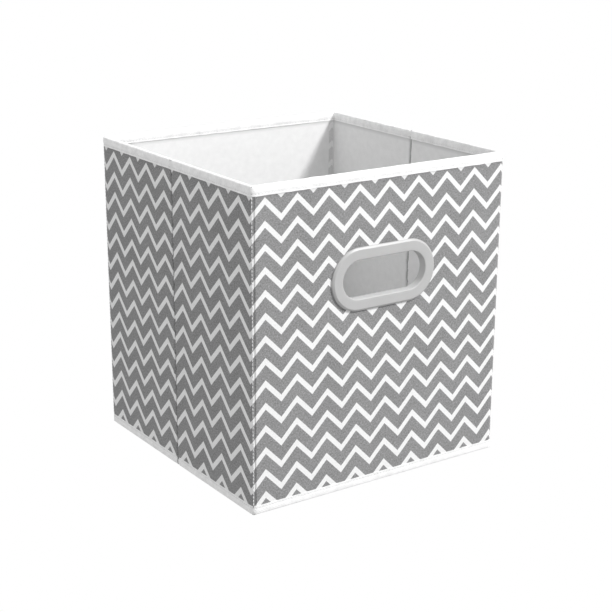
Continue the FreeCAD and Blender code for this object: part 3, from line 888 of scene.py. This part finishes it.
bmesh.ops.bevel(base_shape, geom=borders, offset=COVER_EDGE, segments=3, profile=0.5, affect="EDGES",
                material=-1)
bmesh.ops.triangulate(base_shape, faces=[f for f in base_shape.faces if len(f.verts) > 4])
for axis, reach in ((Vector((1, 0, 0)), BASE_SIZE.x / 2), (Vector((0, 1, 0)), BASE_SIZE.y / 2)):
    for cut in range(1 - COVER_CUTS, COVER_CUTS):
        everything = base_shape.verts[:] + base_shape.edges[:] + base_shape.faces[:]
        bmesh.ops.bisect_plane(base_shape, geom=everything, plane_no=axis,
                               plane_co=BASE_MIDDLE + axis * reach * cut / COVER_CUTS)
base_wrap = base_shape.loops.layers.uv.new("wrap")
for face in base_shape.faces:
    for corner in face.loops:
        corner[base_wrap].uv = corner.vert.co.xy
for vert in base_shape.verts:
    if vert.co.z > BASE_MIDDLE.z:
        vert.co.z += 0.0001 * unevenness(vert.co.x, vert.co.y, 0.035, 51)
base_cover = make_piece("base_cover", base_shape)
base_cover.data.materials.append(white_lining)
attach(base_cover, "base_insert")
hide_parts("base_insert_cover")
base_row = stitch_row("base_stitches", BASE_LOW.x + BASE_STITCH_INSET.x, BASE_HIGH.x - BASE_STITCH_INSET.x,
                      lambda x: Vector((x, BASE_LOW.y + BASE_STITCH_INSET.y, BASE_HIGH.z - 0.0001)))
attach(base_row, "base_insert")

# ------------------------------------------------------------------ studio
# A plain white floor and surround, one large soft lamp high on the right and an even surround, so that
# the front wall is bright, the left wall is in even shade and the right wall shades the back wall.

floor_shape = bmesh.new()
bmesh.ops.create_grid(floor_shape, x_segments=4, y_segments=4, size=6.0)
floor = make_piece("studio_floor", floor_shape)
floor.location.z = -0.0002
floor_material = bpy.data.materials.new("studio_white")
floor_material.use_nodes = True
tree = floor_material.node_tree
sight = add_node(tree, "ShaderNodeLightPath").outputs["Is Camera Ray"]
glow = add_node(tree, "ShaderNodeEmission", {"Color": (1, 1, 1, 1), "Strength": 0.62})
seen = add_node(tree, "ShaderNodeEmission", {"Color": (1, 1, 1, 1), "Strength": 1.0})
mixed = add_node(tree, "ShaderNodeMixShader", {0: sight, 1: glow.outputs[0], 2: seen.outputs[0]})
tree.links.new(mixed.outputs[0], tree.nodes["Material Output"].inputs["Surface"])
floor.data.materials.append(floor_material)

surround = bpy.data.worlds.new("surround")
surround.use_nodes = True
bpy.context.scene.world = surround
tree = surround.node_tree
sight = add_node(tree, "ShaderNodeLightPath").outputs["Is Camera Ray"]
direction = add_node(tree, "ShaderNodeSeparateXYZ",
                     {"Vector": add_node(tree, "ShaderNodeTexCoord").outputs["Generated"]}).outputs
overhead = sums(tree, "MULTIPLY", direction[2], direction[2])
lighting = sums(tree, "MULTIPLY_ADD", overhead, 0.5, 0.66)      # brightest straight above
strength = add_node(tree, "ShaderNodeMix", {0: sight, 2: lighting, 3: 1.0}).outputs[0]
tree.links.new(strength, tree.nodes["Background"].inputs["Strength"])
tree.nodes["Background"].inputs["Color"].default_value = (1, 1, 1, 1)

LAMP_PLACE, LAMP_AIM = Vector((1.55, -2.1, 2.55)), Vector((0, 0, 0.16))
LAMP_WIDTH, LAMP_WATTS = 0.55, 112.0
light = bpy.data.lights.new("key_lamp", "AREA")
light.shape, light.size, light.energy = "DISK", LAMP_WIDTH, LAMP_WATTS
lamp = bpy.data.objects.new("key_lamp", light)
lamp.location = LAMP_PLACE
lamp.rotation_euler = (LAMP_AIM - LAMP_PLACE).to_track_quat("-Z", "Y").to_euler()
bpy.context.scene.collection.objects.link(lamp)

CAMERA_PLACE = (-0.7111, -1.0468, 0.5230)
CAMERA_AZIMUTH, CAMERA_ELEVATION, CAMERA_ROLL = -34.53, 17.26, 0.31
FOCAL_LENGTH = 1400 / 612 * 36
lens = bpy.data.cameras.new("camera")
lens.lens, lens.sensor_width, lens.clip_start = FOCAL_LENGTH, 36.0, 0.02
camera = bpy.data.objects.new("camera", lens)
camera.location = CAMERA_PLACE
camera.rotation_euler = (Matrix.Rotation(math.radians(CAMERA_AZIMUTH), 3, "Z")
                         @ Matrix.Rotation(math.radians(90 - CAMERA_ELEVATION), 3, "X")
                         @ Matrix.Rotation(math.radians(CAMERA_ROLL), 3, "Z")).to_euler()
bpy.context.scene.collection.objects.link(camera)
bpy.context.scene.camera = camera
bpy.context.scene.view_settings.view_transform = "Standard"
